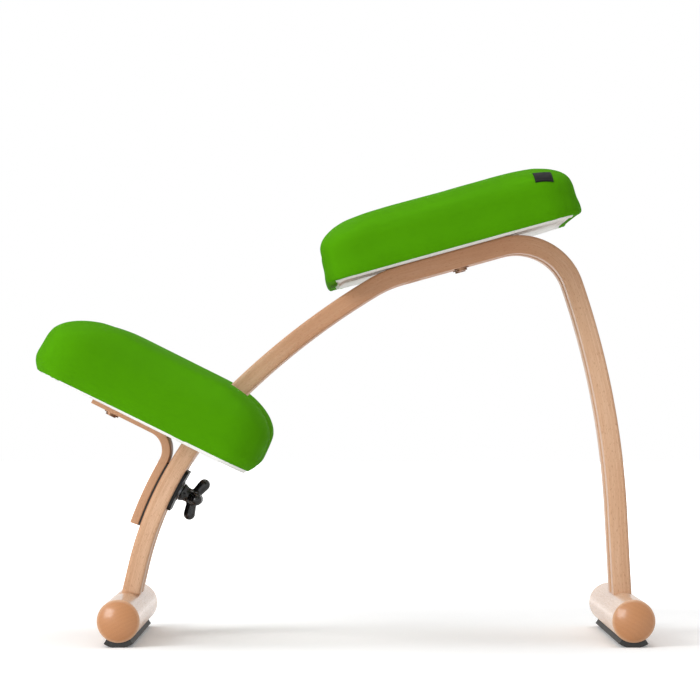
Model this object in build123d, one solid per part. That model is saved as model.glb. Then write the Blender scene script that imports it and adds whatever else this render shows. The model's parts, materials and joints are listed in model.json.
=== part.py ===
from build123d import *
from math import acos, cos, degrees, exp, hypot, radians, sin, sqrt
import os

# Kneeling chair, in millimetres. X runs fore and aft with the knee rest at -X, Y runs across
# with the sitter's left at -Y, Z is up. The origin is on the floor under the chair's middle.

# Foot bars and the rubber strips under them
BAR_DIAMETER = 50.0
BAR_LENGTH = 470.0
BAR_DOME = 10.0
BAR_RIM = 2.0
FOOT_PAD_THICKNESS = 5.6
FOOT_PAD_FLAT = 14.0
FOOT_PAD_SPREAD = 33.0
FOOT_PAD_END_GAP = 11.0

# Bent laminated rails: thickness, width, and the bends in order from the front foot bar
RAIL_THICKNESS = 22.0
RAIL_WIDTH = 36.0
RAIL_GAP = 28.0
RAIL_ROUND = 3.5
RAIL_FOOT_SINK = 2.5
FRONT_LEG_HEADING = 77.0
FRONT_LEG_STRAIGHT = 55.0
SLIDE_RADIUS = 430.0
SLIDE_END_HEADING = 44.5
BROW_RADIUS = 900.0
BROW_END_HEADING = 31.0
SHOULDER_RADIUS = 141.0
SEAT_TILT = 15.5
SEAT_STRAIGHT = 126.0
REAR_BEND_RADIUS = 70.0
REAR_BEND_END_HEADING = -71.0
REAR_LEG_RADIUS = 1000.0
REAR_FOOT_HEADING = -87.0

# Bolts and cross dowels that hold the bars to the rails
BAR_BOLT_DIAMETER = 6.0
BAR_BOLT_HEAD_DIAMETER = 10.0
BAR_BOLT_HEAD_HEIGHT = 6.0
BAR_BOLT_HEAD_DEPTH = 6.0
BAR_BOLT_SOCKET = 5.0
BAR_BOLT_SOCKET_DEPTH = 3.0
DOWEL_DIAMETER = 12.0
DOWEL_LENGTH = 24.0
DOWEL_ABOVE_FOOT = 32.0
DOWEL_PAST_BOLT = 3.0

# Seat cushion
SEAT_WIDTH = 450.0
SEAT_LENGTH = 315.0
SEAT_FRONT_REACH = 156.0
SEAT_CORNER = 46.0
SEAT_DRAW = 4.0
SEAT_HEM = 1.5
SEAT_SHOULDER = 30.0
SEAT_HEIGHT = 65.5
SEAT_CROWN_REACH = 86.0
SEAT_FULLNESS = 2.8

# Knee cushion, notched at the back for the rails
KNEE_TILT = 26.5
KNEE_WIDTH = 460.0
KNEE_LENGTH = 290.0
KNEE_FRONT_REACH = 77.0
KNEE_CORNER = 46.0
KNEE_DRAW = 4.0
NOTCH_WIDTH = 132.0
NOTCH_CLEARANCE = 12.0
NOTCH_CORNER = 26.0
NOTCH_LIP = 20.0
KNEE_HEM = 9.0
KNEE_SHOULDER = 42.0
KNEE_HEIGHT = 84.5
KNEE_CROWN_REACH = 85.0
KNEE_REAR_REACH = 180.0
KNEE_FULLNESS = 2.1

# Upholstery
HEM_TUCK = 1.5
SIDE_REACH = 30.0
CROWN_STEPS = 8
COVER_THICKNESS = 1.5
CLOTH_THICKNESS = 0.8
BOARD_THICKNESS = 12.0
BOARD_INSET = 12.0
LINING_INSET = 9.0
SOFT_CLEARANCE = 0.3
TAG_LENGTH = 18.0
TAG_HEIGHT = 12.0
TAG_THICKNESS = 0.8
TAG_FROM_REAR = 37.0
TAG_LEVEL = 50.0

# Fixings of the two boards
BOARD_BOLT_DIAMETER = 6.0
BOARD_BOLT_HEAD_DIAMETER = 13.0
BOARD_BOLT_HEAD_HEIGHT = 2.6
WASHER_DIAMETER = 18.0
WASHER_THICKNESS = 1.4
TEE_NUT_FLANGE = 19.0
TEE_NUT_FLANGE_THICKNESS = 1.4
TEE_NUT_BARREL = 9.0
TEE_NUT_DEPTH = 9.0
BOLT_CLEARANCE = 0.3
SEAT_BOLT_FRONT = 52.0
SEAT_BOLT_REAR = 8.0
SEAT_BOLT_SINK = 6.0
KNEE_BOLT_FROM_TIP = 27.0
KNEE_BOLT_SPREAD = 60.0
KNEE_SCREW_FROM_TIP = 60.0
KNEE_SCREW_DIAMETER = 4.0
KNEE_SCREW_HEAD = 8.0
KNEE_SCREW_IN_BOARD = 9.0

# Knee bracket of bent plywood, its liner, and the clamp on the rails
BRACKET_THICKNESS = 10.0
BRACKET_WIDTH = 96.0
BRACKET_BEND = 23.0
BRACKET_ARM = 81.0
BRACKET_LOW_HEADING = 70.3
BRACKET_TOP_HEADING = 59.8
BRACKET_ROUND = 1.5
LINER_THICKNESS = 2.0
SLIDE_CLEARANCE = 0.3
CLAMP_HEADING = 62.8
CLAMP_BOLT_DIAMETER = 8.0
CLAMP_BOLT_HEAD = 20.0
CLAMP_BOLT_HEAD_HEIGHT = 3.6
CLAMP_BOLT_HEAD_SINK = 1.0
CLAMP_BOLT_NECK_HEIGHT = 5.0
CLAMP_BOLT_END = 16.0
PLATE_THICKNESS = 4.0
PLATE_LENGTH = 52.0
PLATE_WIDTH = 92.0
PLATE_CORNER = 6.0
CLAMP_WASHER_DIAMETER = 24.0
CLAMP_WASHER_THICKNESS = 2.0

# Star knob
KNOB_DIAMETER = 54.0
KNOB_HEIGHT = 28.0
KNOB_ARM_WIDTH = 14.0
KNOB_ARM_THICKNESS = 11.0
KNOB_HUB_DIAMETER = 30.0
KNOB_FOOT_DIAMETER = 22.0
KNOB_ROUND = 2.0
KNOB_ARMS = 4
INSERT_DIAMETER = 13.0
INSERT_LENGTH = 18.0

BAR_RADIUS = BAR_DIAMETER / 2
BAR_AXIS_Z = BAR_RADIUS + FOOT_PAD_THICKNESS
RAIL_FOOT_Z = BAR_AXIS_Z + BAR_RADIUS - RAIL_FOOT_SINK
RAIL_OFFSET = (RAIL_GAP + RAIL_WIDTH) / 2
BOARD_TOP = CLOTH_THICKNESS + BOARD_THICKNESS


# Strips bent along straight stretches and arcs
def aside(stop, offset):
    """Point at an offset to the left of a stop, which is an x, a z and a heading in degrees."""
    x, z, heading = stop
    return (x - offset * sin(radians(heading)), z + offset * cos(radians(heading)))


def ahead(stop, length):
    """Stop at the end of a straight stretch."""
    x, z, heading = stop
    return (x + length * cos(radians(heading)), z + length * sin(radians(heading)), heading)


def turned(stop, radius, heading):
    """Stop at the end of an arc that turns to a new heading."""
    offset = radius if heading < stop[2] else -radius
    centre = aside(stop, -offset)
    return (*aside((*centre, heading), offset), heading)


def strip_edge(stops, offset):
    """Lines and arcs at an offset from a chain of stops."""
    edges = []
    for start, end in zip(stops, stops[1:]):
        pair = (aside(start, offset), aside(end, offset))
        if start[2] == end[2]:
            edges.append(Line(*pair))
        else:
            direction = (cos(radians(start[2])), sin(radians(start[2])))
            edges.append(TangentArc(*pair, tangent=direction))
    return edges


def strip(stops, near, far, width):
    """Bent strip between two offsets from a chain of stops, centred on Y."""
    ends = [Line(aside(stop, near), aside(stop, far)) for stop in (stops[0], stops[-1])]
    face = make_face(strip_edge(stops, near) + strip_edge(stops, far) + ends)
    return extrude(Plane.XZ * face, amount=width / 2, both=True)


def rail_stops():
    """Stops of the rails' middle line, from the front bar's axis to the rear bar's axis."""
    stops = [(0.0, BAR_AXIS_Z, FRONT_LEG_HEADING)]
    stops.append(ahead(stops[-1], FRONT_LEG_STRAIGHT))
    stops.append(turned(stops[-1], SLIDE_RADIUS, SLIDE_END_HEADING))
    stops.append(turned(stops[-1], BROW_RADIUS, BROW_END_HEADING))
    stops.append(turned(stops[-1], SHOULDER_RADIUS, SEAT_TILT))
    stops.append(ahead(stops[-1], SEAT_STRAIGHT))
    stops.append(turned(stops[-1], REAR_BEND_RADIUS, REAR_BEND_END_HEADING))
    stops.append(turned(stops[-1], REAR_LEG_RADIUS, REAR_FOOT_HEADING))
    drop = (stops[-1][1] - BAR_AXIS_Z) / sin(radians(-REAR_FOOT_HEADING))
    stops.append(ahead(stops[-1], drop))
    return stops


STOPS = rail_stops()
FRONT_BAR_X = STOPS[0][0]
REAR_BAR_X = STOPS[-1][0]
SLIDE_CENTRE = aside(STOPS[1], -SLIDE_RADIUS)


def frame_at(stop, offset, tilt):
    """Plane at an offset from a stop, with its X along a tilt in the XZ plane and Y across."""
    x, z = aside(stop, offset)
    along = (cos(radians(tilt)), 0, sin(radians(tilt)))
    up = (-sin(radians(tilt)), 0, cos(radians(tilt)))
    return Plane(origin=(x, 0, z), x_dir=along, z_dir=up)


def slide_stop(radius, heading):
    """Stop on a circle about the slide centre, heading up the rail."""
    return (*aside((*SLIDE_CENTRE, heading), radius), heading)


# Planes that the sub-assemblies are drawn on
SEAT_PLANE = frame_at(ahead(STOPS[4], SEAT_STRAIGHT / 2), RAIL_THICKNESS / 2, SEAT_TILT)

BRACKET_BACK = SLIDE_RADIUS + RAIL_THICKNESS / 2 + SLIDE_CLEARANCE + LINER_THICKNESS
BRACKET_STOPS = [slide_stop(BRACKET_BACK + BRACKET_THICKNESS, BRACKET_LOW_HEADING)]
BRACKET_STOPS.append(slide_stop(BRACKET_BACK + BRACKET_THICKNESS, BRACKET_TOP_HEADING))
BRACKET_STOPS.append(turned(BRACKET_STOPS[-1], BRACKET_BEND, 180 - KNEE_TILT))
BRACKET_STOPS.append(ahead(BRACKET_STOPS[-1], BRACKET_ARM))
KNEE_PLANE = frame_at(BRACKET_STOPS[-1], -BRACKET_THICKNESS, -KNEE_TILT)

CLAMP_STOP = slide_stop(SLIDE_RADIUS - RAIL_THICKNESS / 2, CLAMP_HEADING)
CLAMP_PLANE = Plane(
    origin=(CLAMP_STOP[0], 0, CLAMP_STOP[1]),
    x_dir=(cos(radians(CLAMP_HEADING)), 0, sin(radians(CLAMP_HEADING))),
    z_dir=(sin(radians(CLAMP_HEADING)), 0, -cos(radians(CLAMP_HEADING))),
)
PLATE_LOW = SLIDE_CLEARANCE
PLATE_TOP = PLATE_LOW + PLATE_THICKNESS
KNOB_BASE = PLATE_TOP + CLAMP_WASHER_THICKNESS + SLIDE_CLEARANCE
BRACKET_FRONT = -(RAIL_THICKNESS + SLIDE_CLEARANCE + LINER_THICKNESS + BRACKET_THICKNESS)


def rod(diameter, low, high):
    """Upright round rod between two heights."""
    return extrude(Pos(0, 0, low) * Circle(diameter / 2), amount=high - low)


def ring(outer, inner, low, high):
    """Upright tube between two heights."""
    return rod(outer, low, high) - rod(inner, low, high)


def together(pieces):
    """One node made of separate solids."""
    return Compound(children=[piece.solid() for piece in pieces])


# Foot bars
def foot_planes(bar_x, heading):
    """Planes at a bar's axis under each rail, with Z up the rail's foot."""
    up = (cos(radians(heading)), 0, sin(radians(heading)))
    return [
        Plane(origin=(bar_x, side * RAIL_OFFSET, BAR_AXIS_Z), x_dir=(0, 1, 0), z_dir=up)
        for side in (-1, 1)
    ]


FRONT_FEET = foot_planes(FRONT_BAR_X, FRONT_LEG_HEADING)
REAR_FEET = foot_planes(REAR_BAR_X, REAR_FOOT_HEADING + 180)
BOLT_HEAD_LOW = BAR_BOLT_HEAD_DEPTH - BAR_RADIUS
BOLT_HEAD_TOP = BOLT_HEAD_LOW + BAR_BOLT_HEAD_HEIGHT
DOWEL_LEVEL = RAIL_FOOT_Z - BAR_AXIS_Z + DOWEL_ABOVE_FOOT
BOLT_TIP = DOWEL_LEVEL + DOWEL_DIAMETER / 2 + DOWEL_PAST_BOLT


def foot_bore():
    """Bore for one bar bolt, with a counterbore for its head."""
    bore = rod(BAR_BOLT_DIAMETER + 2 * BOLT_CLEARANCE, -BAR_RADIUS, BOLT_TIP + BOLT_CLEARANCE)
    head = BAR_BOLT_HEAD_DIAMETER + 2 * BOLT_CLEARANCE
    return bore + rod(head, -BAR_RADIUS, BOLT_HEAD_TOP)


def foot_bar(bar_x, planes):
    """Round bar with domed ends, flats for the rails and bores for their bolts."""
    half = BAR_LENGTH / 2
    shoulder = half - BAR_DOME
    rim = (BAR_RADIUS - BAR_RIM, shoulder + BAR_RIM)
    axis = Line((0, -half), (0, half))
    side = Line((BAR_RADIUS, shoulder), (BAR_RADIUS, -shoulder))
    end = [TangentArc((0, half), rim, tangent=(1, 0)), Line(rim, (BAR_RADIUS, shoulder))]
    other_end = [mirror(edge, Plane.XZ) for edge in end]
    profile = make_face([axis, side, *end, *other_end])
    bar = Pos(bar_x, 0, BAR_AXIS_Z) * revolve(profile, Axis.Y)
    for plane in planes:
        seat = Box(BAR_DIAMETER, RAIL_WIDTH + 2 * BOLT_CLEARANCE, BAR_DIAMETER)
        bar -= Pos(bar_x, plane.origin.Y, RAIL_FOOT_Z + BAR_RADIUS) * seat
        bar -= plane.location * foot_bore()
    return bar


def foot_pad(bar_x):
    """Curved rubber strip under a bar, flat where it stands on the floor."""
    outer = hypot(BAR_AXIS_Z, FOOT_PAD_FLAT / 2)
    edge = (sin(radians(FOOT_PAD_SPREAD)), -cos(radians(FOOT_PAD_SPREAD)))
    flat = FOOT_PAD_FLAT / 2
    half_turn = degrees(acos(BAR_AXIS_Z / outer))
    mid_turn = radians((FOOT_PAD_SPREAD + half_turn) / 2)
    edges = [Line((-flat, -BAR_AXIS_Z), (flat, -BAR_AXIS_Z))]
    for side in (-1, 1):
        low = (side * flat, -BAR_AXIS_Z)
        mid = (side * outer * sin(mid_turn), -outer * cos(mid_turn))
        high = (side * outer * edge[0], outer * edge[1])
        edges.append(ThreePointArc(low, mid, high))
        edges.append(Line(high, (side * BAR_RADIUS * edge[0], BAR_RADIUS * edge[1])))
    ends = [(side * BAR_RADIUS * edge[0], BAR_RADIUS * edge[1]) for side in (-1, 1)]
    edges.append(ThreePointArc(ends[0], (0, -BAR_RADIUS), ends[1]))
    length = BAR_LENGTH - 2 * FOOT_PAD_END_GAP
    strip_pad = extrude(Plane.XZ * make_face(edges), amount=length / 2, both=True)
    return Pos(bar_x, 0, BAR_AXIS_Z) * strip_pad


def bar_bolts(planes):
    """Socket-head bolts up through a bar into its rails."""
    bolt = rod(BAR_BOLT_DIAMETER, BOLT_HEAD_LOW, BOLT_TIP)
    bolt += rod(BAR_BOLT_HEAD_DIAMETER, BOLT_HEAD_LOW, BOLT_HEAD_TOP)
    socket = Pos(0, 0, BOLT_HEAD_LOW) * RegularPolygon(BAR_BOLT_SOCKET / 2, 6, major_radius=False)
    bolt -= extrude(socket, amount=BAR_BOLT_SOCKET_DEPTH)
    return together([plane.location * bolt for plane in planes])


def cross_dowel(clearance):
    """Cross dowel about the local origin, along the local X."""
    radius = DOWEL_DIAMETER / 2 + clearance
    return Pos(0, 0, DOWEL_LEVEL) * Rot(0, 90, 0) * Cylinder(radius, DOWEL_LENGTH + 2 * clearance)


def barrel_nuts(planes):
    """Cross dowels that the bar bolts screw into."""
    nut = cross_dowel(0)
    nut -= rod(BAR_BOLT_DIAMETER + BOLT_CLEARANCE, 0, 2 * DOWEL_LEVEL)
    return together([plane.location * nut for plane in planes])


# Rails
def rail(side):
    """One bent rail with rounded long edges and bores for its bolts and cross dowels."""
    blank = strip(STOPS, RAIL_THICKNESS / 2, -RAIL_THICKNESS / 2, RAIL_WIDTH)
    reach = 2 * REAR_BAR_X
    blank -= Pos(REAR_BAR_X / 2, 0, RAIL_FOOT_Z - reach / 2) * Box(reach, reach, reach)
    flanks = blank.faces().filter_by(Axis.Y)
    edges = [edge for flank in flanks for edge in flank.edges()]
    long_edges = [edge for edge in edges if edge.bounding_box().max.Z > RAIL_FOOT_Z + RAIL_ROUND]
    bent = Pos(0, side * RAIL_OFFSET, 0) * fillet(long_edges, RAIL_ROUND)
    for plane in FRONT_FEET + REAR_FEET:
        if plane.origin.Y * side > 0:
            bent -= plane.location * foot_bore()
            bent -= plane.location * cross_dowel(BOLT_CLEARANCE)
            toward_gap = -side * (DOWEL_LENGTH + RAIL_WIDTH) / 4
            access = Pos(toward_gap, 0, 0) * cross_dowel(BOLT_CLEARANCE)
            bent -= plane.location * access
    for x, below in SEAT_ROWS:
        bore = rod(BOARD_BOLT_DIAMETER + 2 * BOLT_CLEARANCE, -2 * RAIL_THICKNESS, RAIL_THICKNESS)
        bore += rod(WASHER_DIAMETER + 2 * BOLT_CLEARANCE, -2 * RAIL_THICKNESS, -below)
        bent -= SEAT_PLANE.location * Pos(x, side * RAIL_OFFSET, 0) * bore
    return bent


# Cushions
def crown_levels(hem, shoulder, height, reach, fullness):
    """Inset and height of each level of a cushion, up its side and over its crown."""
    levels = [(HEM_TUCK, hem), (0.0, (hem + shoulder) / 2)]
    for step in range(CROWN_STEPS + 1):
        turn = radians(90 * step / CROWN_STEPS)
        inset = reach * (1 - cos(turn) ** (2 / fullness))
        levels.append((inset, shoulder + (height - shoulder) * sin(turn) ** (2 / fullness)))
    return levels


SEAT_LEVELS = crown_levels(SEAT_HEM, SEAT_SHOULDER, SEAT_HEIGHT, SEAT_CROWN_REACH, SEAT_FULLNESS)
KNEE_LEVELS = crown_levels(KNEE_HEM, KNEE_SHOULDER, KNEE_HEIGHT, KNEE_CROWN_REACH, KNEE_FULLNESS)


def settled(levels, skin):
    """Cushion levels moved inward by a skin, along the slope that each level has."""
    moved = []
    last = len(levels) - 1
    for index, (inset, height) in enumerate(levels):
        before = levels[max(index - 1, 0)]
        after = levels[min(index + 1, last)]
        rise = after[1] - before[1]
        run = after[0] - before[0]
        slope = hypot(rise, run)
        if index == 0:
            moved.append((inset + skin, height))
        elif index == last:
            moved.append((inset, height - skin))
        else:
            moved.append((inset + skin * rise / slope, height - skin * run / slope))
    return moved


def bowed(start, end, draw):
    """Side of a cushion outline, drawn in by a little at its middle to the left of its run."""
    dx = end[0] - start[0]
    dy = end[1] - start[1]
    span = hypot(dx, dy)
    middle = ((start[0] + end[0]) / 2 - draw * dy / span, (start[1] + end[1]) / 2 + draw * dx / span)
    return ThreePointArc(start, middle, end)


def outline(corners, draws, radii):
    """Closed outline through corners, anticlockwise, with drawn-in sides and rounded corners."""
    edges = []
    for index, start in enumerate(corners):
        end = corners[(index + 1) % len(corners)]
        edges.append(bowed(start, end, draws[index]) if draws[index] else Line(start, end))
    face = make_face(edges)
    for radius in sorted(set(radii)):
        spots = [Vector(*corner) for corner, size in zip(corners, radii) if size == radius]
        picked = [v for v in face.vertices() if min((Vector(v) - spot).length for spot in spots) < 0.01]
        face = fillet(picked, radius)
    return face


def eased(inset, reach):
    """Inset that grows ever more slowly towards a reach, for the steeper sides of a crown."""
    return reach * (1 - exp(-inset / reach))


def seat_outline(inset):
    """Seat outline moved inward by an inset, less at its sides."""
    front = -SEAT_FRONT_REACH + inset
    rear = SEAT_LENGTH - SEAT_FRONT_REACH - inset
    half = SEAT_WIDTH / 2 - eased(inset, SIDE_REACH)
    corners = [(front, -half), (rear, -half), (rear, half), (front, half)]
    return outline(corners, [SEAT_DRAW] * 4, [SEAT_CORNER] * 4)


def notch_front():
    """Front edge of the knee notch, ahead of where the rails cross the underside of the pad."""
    plane_x, plane_z = KNEE_PLANE.origin.X, KNEE_PLANE.origin.Z
    along = KNEE_PLANE.x_dir
    dx = plane_x - SLIDE_CENTRE[0]
    dz = plane_z - SLIDE_CENTRE[1]
    half_b = dx * along.X + dz * along.Z
    gap = SLIDE_RADIUS + RAIL_THICKNESS / 2 + NOTCH_CLEARANCE
    return -half_b - sqrt(half_b**2 - dx**2 - dz**2 + gap**2)


def knee_outline(inset):
    """Knee pad outline moved inward by an inset, less at its sides, with the notch open at the rear."""
    front = -KNEE_FRONT_REACH + inset
    full_rear = KNEE_LENGTH - KNEE_FRONT_REACH
    rear = full_rear - eased(inset, KNEE_REAR_REACH)
    side = eased(inset, SIDE_REACH)
    half = KNEE_WIDTH / 2 - side
    slot = NOTCH_WIDTH / 2 + side
    root = notch_front() - side
    corners = [(front, -half), (rear, -half), (rear, -slot), (root, -slot)]
    corners += [(root, slot), (rear, slot), (rear, half), (front, half)]
    draws = [KNEE_DRAW, 0, 0, 0, 0, 0, KNEE_DRAW, KNEE_DRAW]
    narrowing = (half - slot) / ((KNEE_WIDTH - NOTCH_WIDTH) / 2)
    corner = KNEE_CORNER * narrowing
    shortening = (rear - root) / (full_rear - notch_front())
    lip = NOTCH_LIP * shortening
    root_corner = NOTCH_CORNER * shortening
    radii = [corner, corner, lip, root_corner, root_corner, lip, corner, corner]
    return outline(corners, draws, radii)


def crowned(shape, levels):
    """Crowned cushion form lofted through its outline at each level."""
    return loft([Pos(0, 0, height) * shape(inset) for inset, height in levels])


def slab(shape, inset, low, high):
    """Flat panel of a cushion's outline between two levels."""
    return extrude(Pos(0, 0, low) * shape(inset), amount=high - low)


def tee_nut():
    """Tee nut with its flange on the top of a board."""
    body = rod(TEE_NUT_BARREL, BOARD_TOP - TEE_NUT_DEPTH, BOARD_TOP)
    body += rod(TEE_NUT_FLANGE, BOARD_TOP, BOARD_TOP + TEE_NUT_FLANGE_THICKNESS)
    return body - rod(BOARD_BOLT_DIAMETER + BOLT_CLEARANCE, 0, 2 * BOARD_TOP)


def board_bolt(below):
    """Low-headed bolt up through what lies below a board and into its tee nut."""
    seat = -below - WASHER_THICKNESS
    return rod(BOARD_BOLT_DIAMETER, seat, BOARD_TOP) + rod(
        BOARD_BOLT_HEAD_DIAMETER, seat - BOARD_BOLT_HEAD_HEIGHT, seat
    )


def board_washer(below):
    """Washer under a board bolt's head."""
    bore = BOARD_BOLT_DIAMETER + 2 * BOLT_CLEARANCE
    return ring(WASHER_DIAMETER, bore, -below - WASHER_THICKNESS, -below)


def nut_pocket():
    """Room for a tee nut in the board, the foam and the cloth below."""
    barrel = TEE_NUT_BARREL + 2 * BOLT_CLEARANCE
    pocket = rod(barrel, BOARD_TOP - TEE_NUT_DEPTH - BOLT_CLEARANCE, BOARD_TOP)
    flange_top = BOARD_TOP + TEE_NUT_FLANGE_THICKNESS + SOFT_CLEARANCE
    pocket += rod(TEE_NUT_FLANGE + 2 * SOFT_CLEARANCE, BOARD_TOP, flange_top)
    return pocket + rod(BOARD_BOLT_DIAMETER + 2 * BOLT_CLEARANCE, -1, BOARD_TOP)


def lining(shape, levels):
    """Pale lining under a cushion, turned up round the board to the cover's hem."""
    hem_inset, hem = levels[0]
    edge = (hem_inset + COVER_THICKNESS + SOFT_CLEARANCE, hem)
    tray = crowned(shape, [(LINING_INSET, 0), edge])
    return tray - slab(shape, BOARD_INSET, CLOTH_THICKNESS, hem)


def cushion(shape, levels, plane, fixings, screws):
    """Board, foam, cover and lining of a cushion, on its plane, with room for its fixings."""
    inner = crowned(shape, settled(levels, COVER_THICKNESS))
    filling = crowned(shape, settled(levels, COVER_THICKNESS + SOFT_CLEARANCE))
    board = slab(shape, BOARD_INSET, CLOTH_THICKNESS, BOARD_TOP)
    foam = filling - slab(shape, BOARD_INSET, 0, BOARD_TOP)
    cloth = lining(shape, levels)
    for x, y, _ in fixings:
        pocket = Pos(x, y, 0) * nut_pocket()
        board -= pocket
        cloth -= pocket
        foam -= pocket
    for spot in screws:
        hole = Pos(*spot, 0) * rod(KNEE_SCREW_DIAMETER, -1, CLOTH_THICKNESS + KNEE_SCREW_IN_BOARD)
        board -= hole
        cloth -= hole
    cover = crowned(shape, levels) - inner
    pieces = {"board": board, "foam": foam, "cover": cover, "underside_cloth": cloth}
    return {name: plane.location * piece for name, piece in pieces.items()}


def seat_tag():
    """Blank sewn tag that lies on the seat cover's left flank near the rear."""
    x = SEAT_LENGTH - SEAT_FRONT_REACH - TAG_FROM_REAR
    window = Pos(x, -SEAT_WIDTH / 2, TAG_LEVEL) * Box(TAG_LENGTH, SEAT_WIDTH / 2, TAG_HEIGHT)
    tag = window & crowned(seat_outline, settled(SEAT_LEVELS, -SOFT_CLEARANCE - TAG_THICKNESS))
    tag -= crowned(seat_outline, settled(SEAT_LEVELS, -SOFT_CLEARANCE))
    return SEAT_PLANE.location * tag


# Bolts of the boards, each with what it passes through below the board
SEAT_ROWS = [(-SEAT_BOLT_FRONT, RAIL_THICKNESS - SEAT_BOLT_SINK), (SEAT_BOLT_REAR, RAIL_THICKNESS)]
SEAT_FIXINGS = [(x, side * RAIL_OFFSET, below) for x, below in SEAT_ROWS for side in (-1, 1)]
KNEE_FIXINGS = [
    (KNEE_BOLT_FROM_TIP, side * KNEE_BOLT_SPREAD / 2, BRACKET_THICKNESS) for side in (-1, 1)
]
KNEE_SCREWS = [(KNEE_SCREW_FROM_TIP, side * KNEE_BOLT_SPREAD / 2) for side in (-1, 1)]


# Knee bracket and clamp
def knee_screw():
    """Countersunk screw, flush with the bracket, up into the knee board."""
    low = -BRACKET_THICKNESS
    drop = (KNEE_SCREW_HEAD - KNEE_SCREW_DIAMETER) / 2
    head = Pos(0, 0, low + drop / 2) * Cone(KNEE_SCREW_HEAD / 2, KNEE_SCREW_DIAMETER / 2, drop)
    return head + rod(KNEE_SCREW_DIAMETER, low, CLOTH_THICKNESS + KNEE_SCREW_IN_BOARD)


def clamp_bolt():
    """Carriage bolt with a low round head and a square neck."""
    top = BRACKET_FRONT + CLAMP_BOLT_HEAD_SINK + CLAMP_BOLT_HEAD_HEIGHT
    neck = Box(CLAMP_BOLT_DIAMETER, CLAMP_BOLT_DIAMETER, CLAMP_BOLT_NECK_HEIGHT)
    neck = Pos(0, 0, top + CLAMP_BOLT_NECK_HEIGHT / 2) * neck
    head = rod(CLAMP_BOLT_HEAD, top - CLAMP_BOLT_HEAD_HEIGHT, top)
    return head + neck + rod(CLAMP_BOLT_DIAMETER, top, KNOB_BASE + CLAMP_BOLT_END)


def clamp_room():
    """Room for the carriage bolt through the bracket and its liner."""
    top = BRACKET_FRONT + CLAMP_BOLT_HEAD_SINK + CLAMP_BOLT_HEAD_HEIGHT
    size = CLAMP_BOLT_DIAMETER + BOLT_CLEARANCE
    neck = Pos(0, 0, top + RAIL_THICKNESS / 2) * Box(size, size, RAIL_THICKNESS)
    return neck + rod(CLAMP_BOLT_HEAD + 2 * BOLT_CLEARANCE, 2 * BRACKET_FRONT, top)


def knee_bracket():
    """Bent plywood bracket under the knee pad and along the front of the rails."""
    blank = strip(BRACKET_STOPS, 0, -BRACKET_THICKNESS, BRACKET_WIDTH)
    flanks = blank.faces().filter_by(Axis.Y)
    bracket = fillet([edge for flank in flanks for edge in flank.edges()], BRACKET_ROUND)
    bracket -= CLAMP_PLANE.location * clamp_room()
    for x, y, below in KNEE_FIXINGS:
        bore = rod(BOARD_BOLT_DIAMETER + 2 * BOLT_CLEARANCE, -2 * below, below)
        bracket -= KNEE_PLANE.location * Pos(x, y, 0) * bore
    for spot in KNEE_SCREWS:
        bracket -= KNEE_PLANE.location * Pos(*spot, 0) * knee_screw()
    return bracket


def bracket_liner():
    """Thin friction strip on the bracket's leg, a hair clear of the rails."""
    stops = [slide_stop(BRACKET_BACK, heading) for heading in (BRACKET_LOW_HEADING, BRACKET_TOP_HEADING)]
    liner = strip(stops, 0, -LINER_THICKNESS, BRACKET_WIDTH - 2 * BRACKET_ROUND)
    return liner - CLAMP_PLANE.location * clamp_room()


def clamp_plate():
    """Pressed plate, curved to the back of the rails."""
    radius = SLIDE_RADIUS - RAIL_THICKNESS / 2 - PLATE_LOW
    half_turn = degrees(PLATE_LENGTH / 2 / radius)
    stops = [slide_stop(radius, CLAMP_HEADING + turn) for turn in (half_turn, -half_turn)]
    plate = strip(stops, 0, -PLATE_THICKNESS, PLATE_WIDTH)
    corners = [edge for edge in plate.edges() if abs(edge.length - PLATE_THICKNESS) < 0.05]
    plate = fillet(corners, PLATE_CORNER)
    bore = rod(CLAMP_BOLT_DIAMETER + 4 * BOLT_CLEARANCE, -PLATE_TOP, 2 * PLATE_TOP)
    spot_face = rod(CLAMP_WASHER_DIAMETER + 2 * BOLT_CLEARANCE, PLATE_TOP, 2 * PLATE_TOP)
    return plate - CLAMP_PLANE.location * (bore + spot_face)


def knob_grip():
    """Star knob with rounded arms on a tapered hub, bored for its insert."""
    top = KNOB_BASE + KNOB_HEIGHT
    arm_low = top - KNOB_ARM_THICKNESS
    foot = Pos(0, 0, KNOB_BASE) * Circle(KNOB_FOOT_DIAMETER / 2)
    hub = loft([foot, Pos(0, 0, arm_low) * Circle(KNOB_HUB_DIAMETER / 2)])
    star = Sketch() + Circle(KNOB_HUB_DIAMETER / 2)
    for index in range(KNOB_ARMS // 2):
        star += Rot(0, 0, 360 / KNOB_ARMS * index) * SlotOverall(KNOB_DIAMETER, KNOB_ARM_WIDTH)
    arms = extrude(Pos(0, 0, arm_low) * star, amount=KNOB_ARM_THICKNESS)
    rims = arms.faces().sort_by(Axis.Z)
    arms = fillet(rims[-1].edges(), KNOB_ROUND)
    grip = hub + arms
    bore = rod(INSERT_DIAMETER, KNOB_BASE, KNOB_BASE + INSERT_LENGTH)
    return grip - bore


def knob_insert():
    """Threaded bush in the knob."""
    bore = CLAMP_BOLT_DIAMETER + 2 * BOLT_CLEARANCE
    top = KNOB_BASE + INSERT_LENGTH
    return ring(INSERT_DIAMETER, bore, KNOB_BASE, top)


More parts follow.
